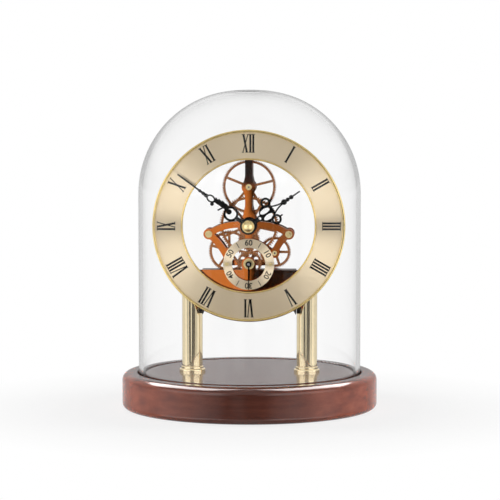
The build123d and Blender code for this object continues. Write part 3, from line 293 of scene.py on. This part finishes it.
# Materials
def metal(name, colour, roughness, contrast=0.12, scale=0.4, stretch=even, grain=0.0):
    """A metal with faint tarnish in its colour and gloss, and draw lines where it has a grain."""
    mat = new_material(name, Metallic=1.0)
    tree = mat.node_tree
    tarnish = noise(tree, scale=0.15, detail=4.0)
    tones = shades(colour, low=1 - contrast, high=1 + contrast / 3)
    link(mat, "Base Color", two_tone(tree, tarnish, *tones))
    lines = noise(tree, scale, stretch=stretch)
    link(mat, "Roughness", spread(tree, lines, low=roughness * 0.7, high=roughness * 1.3))
    if grain:
        bump(mat, lines, depth=grain)
    return mat


def plastic(name, colour, roughness, grain, **sockets):
    """A moulded plastic or paint with a fine grain."""
    mat = new_material(name, **sockets)
    tree = mat.node_tree
    cloud = noise(tree, scale=0.3)
    link(mat, "Base Color", two_tone(tree, cloud, *shades(colour, low=0.85, high=1.1)))
    fine = noise(tree, scale=6.0, detail=2.0)
    link(mat, "Roughness", spread(tree, fine, low=roughness * 0.85, high=roughness * 1.15))
    bump(mat, fine, depth=grain)
    return mat


def lacquered_wood():
    """Reddish brown wood under clear lacquer, with its grain along X."""
    dark, middle, light = (0.096, 0.017, 0.006), (0.136, 0.026, 0.010), (0.180, 0.039, 0.017)
    figure_share, pore_share = 0.7, 0.3
    lacquer = dict(Coat_Weight=1.0, Coat_Roughness=0.14, Coat_IOR=1.5)
    mat = new_material("lacquered_wood", Specular_IOR_Level=0.0, **lacquer)
    tree = mat.node_tree
    figure = noise(tree, scale=1.0, detail=6.0, stretch=(0.02, 0.12, 0.25))
    pores = noise(tree, scale=1.0, stretch=(0.12, 1.6, 2.2))
    shares = [calc(tree, "MULTIPLY", figure, figure_share), calc(tree, "MULTIPLY", pores, pore_share)]
    grain = calc(tree, "ADD", *shares)
    link(mat, "Base Color", ramp(tree, grain, [(0.34, dark), (0.5, middle), (0.66, light)]))
    link(mat, "Roughness", spread(tree, pores, low=0.3, high=0.5))
    bump(mat, pores, depth=0.03 * MM)
    return mat


def felt():
    mat = new_material("black_felt", Roughness=0.95, Sheen_Weight=0.5)
    tree = mat.node_tree
    fibres = noise(tree, scale=2.5, detail=6.0)
    tones = two_tone(tree, fibres, dark=(0.006, 0.006, 0.007), light=(0.03, 0.03, 0.033))
    link(mat, "Base Color", tones)
    bump(mat, fibres, depth=0.3 * MM)
    return mat


def clear_glass():
    """Clear glass that darkens a little along its thickness, so its edges show grey."""
    density_per_metre = 8.5
    mat = new_material("clear_glass", Base_Color=white, Transmission_Weight=1.0, IOR=1.22)
    tree = mat.node_tree
    smears = noise(tree, scale=0.05, stretch=(1, 1, 0.4))
    link(mat, "Roughness", spread(tree, smears, low=0.0, high=0.012))
    body = add(tree, "ShaderNodeVolumeAbsorption", [("Color", black), ("Density", density_per_metre)])
    tree.links.new(body.outputs[0], tree.nodes["Material Output"].inputs["Volume"])
    return mat


def radius_about(tree, centre):
    """The distance from a front to back axis, in millimetres."""
    offset = vector_calc(tree, "SUBTRACT", object_place(tree), centre)[0]
    flat = vector_calc(tree, "MULTIPLY", offset, (1 / MM, 0, 1 / MM))[0]
    return vector_calc(tree, "LENGTH", flat)["Value"]


def circular_brushed(name, centre, colour):
    """Champagne metal with brush lines that run round a centre."""
    mat = new_material(name, Metallic=1.0, Anisotropic=1.0, Anisotropic_Rotation=0.25)
    tree = mat.node_tree
    inputs = [("W", radius_about(tree, centre)), ("Scale", 9.0), ("Detail", 4.0)]
    lines = add(tree, "ShaderNodeTexNoise", inputs, noise_dimensions="1D").outputs["Fac"]
    link(mat, "Base Color", two_tone(tree, lines, *shades(colour, low=0.86, high=1.06)))
    link(mat, "Roughness", spread(tree, lines, low=0.34, high=0.42))
    tangent = add(tree, "ShaderNodeTangent", direction_type="RADIAL", axis="Y")
    link(mat, "Tangent", tangent.outputs[0])
    bump(mat, lines, depth=0.008 * MM)
    return mat


def wound_wire():
    """Enamelled copper wire, wound round an axis along X."""
    mat = metal("enamelled_wire", colour=(0.55, 0.18, 0.06), roughness=0.3)
    tree = mat.node_tree
    inputs = [("Vector", coordinates(tree, even)), ("Scale", 2.0)]
    turns = add(tree, "ShaderNodeTexWave", inputs, bands_direction="X")
    bump(mat, turns.outputs["Fac"], depth=0.1 * MM)
    return mat


def printed_black():
    mat = new_material("printed_black", Specular_IOR_Level=black_gloss)
    tree = mat.node_tree
    ink = noise(tree, scale=1.5)
    tones = two_tone(tree, ink, dark=(0.003, 0.003, 0.003), light=(0.006, 0.005, 0.005))
    link(mat, "Base Color", tones)
    link(mat, "Roughness", spread(tree, ink, low=0.4, high=0.6))
    return mat


def cell_jacket():
    """A dark battery sleeve with a copper-coloured end band."""
    band_start = 12 * MM
    sleeve, end_band = (0.018, 0.018, 0.02), (0.42, 0.19, 0.07)
    mat = new_material("cell_jacket", Coat_Weight=0.4)
    tree = mat.node_tree
    along = add(tree, "ShaderNodeSeparateXYZ", [(0, object_place(tree))]).outputs["X"]
    past_start = calc(tree, "GREATER_THAN", along, band_start)
    link(mat, "Base Color", ramp(tree, past_start, [(0.0, sleeve), (1.0, end_band)]))
    scuffs = noise(tree, scale=0.8, stretch=(0.2, 1, 1))
    link(mat, "Roughness", spread(tree, scuffs, low=0.25, high=0.4))
    return mat


def make_materials():
    """All materials by name; most names are those of the slots that wear them."""
    return {
        **{name: metal(name, **settings) for name, settings in metals.items()},
        **{name: plastic(name, **settings) for name, settings in plastics.items()},
        "lacquered_wood": lacquered_wood(),
        "black_felt": felt(),
        "clear_glass": clear_glass(),
        "champagne": circular_brushed("champagne", dial_centre, colour=(0.95, 0.79, 0.55)),
        "champagne_small": circular_brushed("champagne_small", seconds_centre, colour=(0.92, 0.77, 0.55)),
        "cell_jacket": cell_jacket(),
        "enamelled_wire": wound_wire(),
        "printed_black": printed_black(),
    }


materials = make_materials()


def dress(obj, material):
    obj.data.materials.clear()
    obj.data.materials.append(materials[material])


def smooth_shading(obj):
    """Smooth shading that keeps hard edges and flat faces."""
    obj.data.shade_smooth()
    obj.data.set_sharp_from_angle(angle=smooth_angle)
    normals = obj.modifiers.new("flat_faces", "WEIGHTED_NORMAL")
    normals.keep_sharp = True
    normals.weight = flat_face_weight


def dress_cad_nodes():
    """Every CAD node gets the material of its slot; the small dial's brush lines run round its own centre."""
    slots = {part["node"]: part["material_slot"] for part in frame["record"]["subparts"]}
    for name, obj in nodes.items():
        dress(obj, "champagne_small" if name == "seconds_dial" else slots[name])
        smooth_shading(obj)


# Mesh helpers
def into_scene(name, data):
    """A new object in the scene, for a mesh, lamp or camera."""
    obj = bpy.data.objects.new(name, data)
    bpy.context.scene.collection.objects.link(obj)
    return obj


def mesh_object(name, mesh_data):
    mesh = bpy.data.meshes.new(name)
    mesh_data.to_mesh(mesh)
    mesh_data.free()
    return into_scene(name, mesh)


def new_piece(name, mesh_data, body, material):
    obj = mesh_object(name, mesh_data)
    dress(obj, material)
    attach(obj, body)
    return obj


# Printed pieces
def face_place(centre, across, outward, angle):
    """A place on a dial, from the distances across and outward of a radial line at a clock angle."""
    sine, cosine = math.sin(angle), math.cos(angle)
    x = outward * sine + across * cosine
    z = outward * cosine - across * sine
    return Vector((centre.x + x, 0, centre.z + z))


def bar(middle, half, inner, outer):
    """Corners of a bar that points outward on a dial, as distances across and outward."""
    return [(middle - half, inner), (middle + half, inner), (middle + half, outer), (middle - half, outer)]


def print_shape(data, centre, angle, corners, face):
    """A thin printed patch, standing on a dial face that looks to the front."""
    places = [face_place(centre, across, outward, angle) for across, outward in corners]
    low = [data.verts.new((p.x, face, p.z)) for p in places]
    high = [data.verts.new((p.x, face - print_thickness, p.z)) for p in places]
    data.faces.new(high)
    data.faces.new(list(reversed(low)))
    count = len(corners)
    for i in range(count):
        j = (i + 1) % count
        data.faces.new((low[i], low[j], high[j], high[i]))


def strokes_of(numeral):
    """Strokes of a Roman numeral as (foot, head, width) across its line, counted from its middle."""
    strokes = []
    cursor = 0.0
    for letter in numeral:
        if letter == "I":
            middle = cursor + stroke_pitch / 2
            strokes.append((middle, middle, thick_stroke))
            cursor += stroke_pitch
        else:
            left, right = cursor + thick_stroke / 2, cursor + diagonal_width
            if letter == "V":
                bottom = (left + right) / 2
                strokes.append((bottom - thin_stroke / 4, left, thick_stroke))
                strokes.append((bottom + thin_stroke / 2, right, thin_stroke))
            else:
                strokes.append((right - thick_stroke / 2, left, thick_stroke))
                strokes.append((left - thin_stroke / 2, right, thin_stroke))
            cursor += diagonal_width + stroke_pitch - thick_stroke
    return [(foot - cursor / 2, head - cursor / 2, width) for foot, head, width in strokes]


def draw_numeral(data, numeral, angle, face):
    """Each stroke of a numeral, with a serif at its foot and one at its head."""
    foot, head = numeral_foot, numeral_foot + numeral_height
    for low, high, width in strokes_of(numeral):
        half = width / 2
        reach = half + serif_reach
        stroke = [(low - half, foot), (low + half, foot), (high + half, head), (high - half, head)]
        foot_serif = bar(low, reach, foot, foot + serif_height)
        head_serif = bar(high, reach, head - serif_height, head)
        for corners in (stroke, foot_serif, head_serif):
            print_shape(data, dial_centre, angle, corners, face)


def chapter_numerals():
    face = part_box("chapter_ring")[0].y
    data = bmesh.new()
    for hour, numeral in enumerate(numerals):
        draw_numeral(data, numeral, math.radians(degrees_per_hour * hour), face)
    bmesh.ops.recalc_face_normals(data, faces=data.faces)
    new_piece("chapter_numerals", data, "clock", "printed_black")


def seconds_ticks():
    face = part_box("seconds_dial")[0].y
    data = bmesh.new()
    tick = bar(0.0, tick_width / 2, tick_inner, tick_outer)
    for second in ticked_seconds:
        print_shape(data, seconds_centre, math.radians(degrees_per_second * second), tick, face)
    bmesh.ops.recalc_face_normals(data, faces=data.faces)
    new_piece("seconds_ticks", data, "clock", "printed_black")


def figure_mesh(text):
    """Figures as a thin mesh in their own plane, made from the built-in font."""
    curve = bpy.data.curves.new("figures", "FONT")
    curve.body = text
    curve.size = figure_size
    curve.offset = figure_weight
    curve.align_x = "CENTER"
    curve.align_y = "CENTER"
    curve.extrude = print_thickness / 2
    holder = bpy.data.objects.new("figures", curve)
    mesh = bpy.data.meshes.new_from_object(holder)
    bpy.data.objects.remove(holder)
    bpy.data.curves.remove(curve)
    return mesh


def seconds_figures():
    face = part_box("seconds_dial")[0].y
    data = bmesh.new()
    upright = Matrix.Rotation(math.radians(90), 4, "X")
    for second in figured_seconds:
        mesh = figure_mesh(str(second))
        angle = math.radians(degrees_per_second * second)
        place = face_place(seconds_centre, 0, figures_radius, angle)
        place.y = face - print_thickness / 2
        mesh.transform(Matrix.Translation(place) @ Matrix.Rotation(angle, 4, "Y") @ upright)
        data.from_mesh(mesh)
        bpy.data.meshes.remove(mesh)
    new_piece("seconds_figures", data, "clock", "printed_black")


# Turned pieces
def rounded_section(corners):
    """A closed half section of a turned piece, from right-angled corners as (radius, along, rounding)."""
    points = []
    for i, (radius, along, rounding) in enumerate(corners):
        here = Vector((radius, along))
        if not rounding:
            points.append(here)
            continue
        to_last = (Vector(corners[i - 1][:2]) - here).normalized()
        to_next = (Vector(corners[(i + 1) % len(corners)][:2]) - here).normalized()
        centre = here + rounding * (to_last + to_next)
        for step in range(corner_steps + 1):
            turn = math.pi / 2 * step / corner_steps
            points.append(centre - rounding * (to_next * math.cos(turn) + to_last * math.sin(turn)))
    return points


def dome_arc(centre, radius, start, end):
    turns = [start + (end - start) * step / dome_arc_steps for step in range(dome_arc_steps + 1)]
    return [Vector((centre[0] + radius * math.cos(t), centre[1] + radius * math.sin(t))) for t in turns]


def turned_piece(name, node, section, place, body, material):
    """A finely turned piece in place of a round CAD node; place takes radius, angle and along to a point."""
    data = bmesh.new()
    rings = []
    for i in range(turn_segments):
        angle = 2 * math.pi * i / turn_segments
        rings.append([data.verts.new(place(point.x, angle, point.y)) for point in section])
    for ring, following in zip(rings, rings[1:] + rings[:1]):
        for j in range(len(section)):
            k = (j + 1) % len(section)
            data.faces.new((ring[j], ring[k], following[k], following[j]))
    bmesh.ops.remove_doubles(data, verts=data.verts, dist=weld_distance)
    bmesh.ops.recalc_face_normals(data, faces=data.faces)
    obj = new_piece(name, data, body, material)
    smooth_shading(obj)
    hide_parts(node)


def about_z(radius, angle, along):
    return radius * math.cos(angle), radius * math.sin(angle), along


def about_dial(radius, angle, along):
    return dial_centre.x + radius * math.cos(angle), along, dial_centre.z + radius * math.sin(angle)


def dome_arcs(radius, inset):
    """Shoulder and crown of the dome's half section, from the springing to the apex."""
    shoulder = radius - dome_shoulder_inset
    drop = math.sqrt((dome_crown_radius - shoulder) ** 2 - dome_shoulder_inset**2)
    lean = math.atan2(drop, dome_shoulder_inset)
    shoulder_centre = (dome_shoulder_inset, dome_shoulder_z)
    crown_centre = (0.0, dome_shoulder_z - drop)
    points = dome_arc(shoulder_centre, shoulder - inset, 0.0, lean)
    return points + dome_arc(crown_centre, dome_crown_radius - inset, lean, math.pi / 2)[1:]


def turned_dome():
    low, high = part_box("glass_dome")
    inner = high.x - dome_wall
    wall = [(inner, low.z, dome_lip_round), (high.x, low.z, dome_lip_round)]
    foot = rounded_section([*wall, (high.x, dome_shoulder_z, 0), (inner, dome_shoulder_z, 0)])[:-2]
    section = foot + dome_arcs(high.x, 0.0) + dome_arcs(high.x, dome_wall)[::-1]
    turned_piece("turned_dome", "glass_dome", section, about_z, "dome", "clear_glass")


def turned_bezel():
    """The bezel outside the chapter ring, with a lip behind it."""
    ring_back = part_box("chapter_ring")[1].y
    low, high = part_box("outer_bezel")
    inner = high.x - bezel_width
    lip = inner - bezel_lip
    bezel = rounded_section([
        (inner, low.y, bezel_round / 2),
        (high.x, low.y, bezel_round),
        (high.x, high.y, 0),
        (lip, high.y, 0),
        (lip, ring_back, 0),
        (inner, ring_back, 0),
    ])
    turned_piece("turned_bezel", "outer_bezel", bezel, about_dial, "clock", "gold_rim")


def turned_rim():
    """The rim inside the chapter ring."""
    low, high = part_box("inner_rim")
    inner = high.x - rim_width
    rim = rounded_section([
        (inner, low.y, rim_round),
        (high.x, low.y, rim_round),
        (high.x, high.y, 0),
        (inner, high.y, 0),
    ])
    turned_piece("turned_rim", "inner_rim", rim, about_dial, "clock", "gold_rim")


# Studio
def soft_step(tree, value, limit, soft):
    """Rises from 0 to 1 where a value passes a limit, with a soft edge."""
    inputs = [("Value", value), ("From Min", limit - soft), ("From Max", limit + soft)]
    return add(tree, "ShaderNodeMapRange", inputs).outputs[0]


def band(tree, value, low, high, soft):
    """1 where a value lies between low and high, with soft edges."""
    below_high = calc(tree, "SUBTRACT", 1.0, soft_step(tree, value, high, soft))
    return calc(tree, "MULTIPLY", soft_step(tree, value, low, soft), below_high)


def seen_directly(tree):
    """1 for rays that see the background itself: from the camera, a mirror or through glass."""
    path = add(tree, "ShaderNodeLightPath").outputs
    seen = calc(tree, "MAXIMUM", path["Is Camera Ray"], path["Is Glossy Ray"])
    return calc(tree, "MAXIMUM", seen, path["Is Transmission Ray"])


def mirrored(tree):
    """1 for rays that a shiny surface has sent on, also through glass."""
    return calc(tree, "GREATER_THAN", add(tree, "ShaderNodeLightPath").outputs["Glossy Depth"], 0.5)


def patch(tree, azimuth, elevation, sides, heights, softness):
    """1 inside a patch of directions, given in degrees."""
    low, high, soft_side = (math.radians(angle) for angle in (*sides, softness[0]))
    bottom, top, soft_height = (math.radians(angle) for angle in (*heights, softness[1]))
    across = band(tree, azimuth, low, high, soft_side)
    upright = band(tree, elevation, bottom, top, soft_height)
    return calc(tree, "MULTIPLY", across, upright)


def blend(tree, under, mask, value):
    """Puts a value over another one where a mask is 1."""
    return add(tree, "ShaderNodeMix", [("Factor", mask), ("A", under), ("B", value)]).outputs["Result"]


def mix_shaders(tree, share, first, second):
    return add(tree, "ShaderNodeMixShader", [(0, share), (1, first.outputs[0]), (2, second.outputs[0])])


def mirror_view(tree):
    """The brightness of the room in each direction, as mirrors see it."""
    direction = add(tree, "ShaderNodeTexCoord").outputs["Generated"]
    axes = add(tree, "ShaderNodeSeparateXYZ", [(0, direction)]).outputs
    azimuth = calc(tree, "ARCTAN2", axes["X"], calc(tree, "MULTIPLY", axes["Y"], -1.0))
    elevation = calc(tree, "ARCSINE", axes["Z"])
    sideways = calc(tree, "ABSOLUTE", azimuth)
    seen = room_brightness
    for around, patches in ((sideways, room_patches), (azimuth, stand_patches)):
        for sides, heights, softness, value in patches:
            seen = blend(tree, seen, patch(tree, around, elevation, sides, heights, softness), value)
    return seen


def studio_world():
    """White all round; mirrors see a grey room with pale panels, a striped horizon and a dark stand."""
    world = bpy.data.worlds.new("studio")
    world.use_nodes = True
    bpy.context.scene.world = world
    tree = world.node_tree
    tree.nodes.clear()
    bright = blend(tree, 1.0, mirrored(tree), mirror_view(tree))
    background = add(tree, "ShaderNodeBackground", [("Color", white), ("Strength", bright)])
    fill = add(tree, "ShaderNodeBackground", [("Color", white), ("Strength", fill_brightness)])
    mixed = mix_shaders(tree, seen_directly(tree), fill, background)
    add(tree, "ShaderNodeOutputWorld", [("Surface", mixed.outputs[0])])


def floor_material():
    """Grey that takes shadow under a share of plain white, and clear to rays from a mirror."""
    mat = bpy.data.materials.new("floor")
    mat.use_nodes = True
    tree = mat.node_tree
    tree.nodes.clear()
    out = vector_calc(tree, "LENGTH", object_place(tree))["Value"]
    distances = [("Value", out), ("From Min", floor_fade / 2), ("From Max", floor_fade)]
    fade = add(tree, "ShaderNodeMapRange", [*distances, ("To Min", floor_white_share), ("To Max", 1.0)])
    share = calc(tree, "MULTIPLY", fade.outputs[0], seen_directly(tree))
    diffuse = add(tree, "ShaderNodeBsdfDiffuse", [("Color", floor_grey)])
    glow = add(tree, "ShaderNodeEmission", [("Color", white), ("Strength", 1.0)])
    clear = add(tree, "ShaderNodeBsdfTransparent")
    pale = mix_shaders(tree, share, diffuse, glow)
    shown = mix_shaders(tree, mirrored(tree), pale, clear)
    add(tree, "ShaderNodeOutputMaterial", [("Surface", shown.outputs[0])])
    return mat


def floor():
    """A round pale floor that keeps the shadow near the base; mirrors look through it to the studio."""
    data = bmesh.new()
    bmesh.ops.create_circle(data, cap_ends=True, radius=floor_radius, segments=floor_segments)
    obj = mesh_object("floor", data)
    obj.data.materials.append(floor_material())


def lamp(name, place, target, size, power):
    light = bpy.data.lights.new(name, "AREA")
    light.shape = "RECTANGLE"
    light.size, light.size_y = size
    light.energy = power
    obj = into_scene(name, light)
    obj.location = place
    obj.rotation_euler = (Vector(target) - Vector(place)).to_track_quat("-Z", "Y").to_euler()
    return obj


def lights():
    """Soft lamps from the sides and front for the body colours; mirrors see the world's room instead."""
    x, y, z = side_lamp_place
    boxes = [
        lamp("left_box", (-x, y, z), lamp_target, side_lamp_size, side_lamp_power),
        lamp("right_box", (x, y, z), lamp_target, side_lamp_size, side_lamp_power),
        lamp("front_box", front_lamp_place, lamp_target, front_lamp_size, front_lamp_power),
    ]
    for box in boxes:
        box.visible_glossy = False
        box.visible_transmission = False


def rim_strips():
    """Broad lamps overhead that only draw the bright line round the edge of the base."""
    rim_lit = bpy.data.collections.new("rim_lit")
    rim_lit.objects.link(nodes["wood_base"])
    x, y, z = rim_lamp_place
    for side in (-1, 1):
        obj = lamp("rim_strip", (side * x, y, z), (side * x, y, 0.0), rim_lamp_size, rim_lamp_power)
        obj.rotation_euler.z = side * rim_lamp_turn
        obj.visible_diffuse = False
        obj.light_linking.receiver_collection = rim_lit


def camera():
    data = bpy.data.cameras.new("photo_camera")
    data.sensor_width = sensor_width
    data.lens = camera_lens
    obj = into_scene("photo_camera", data)
    yaw = math.radians(camera_yaw)
    obj.location = (
        camera_distance * math.sin(yaw) + camera_side * math.cos(yaw),
        -camera_distance * math.cos(yaw) + camera_side * math.sin(yaw),
        camera_height,
    )
    obj.rotation_euler = (math.radians(90 - camera_pitch), 0, yaw)
    bpy.context.scene.camera = obj


dress_cad_nodes()
chapter_numerals()
seconds_ticks()
seconds_figures()
turned_dome()
turned_bezel()
turned_rim()
studio_world()
floor()
lights()
rim_strips()
camera()
bpy.context.scene.view_settings.view_transform = "Standard"
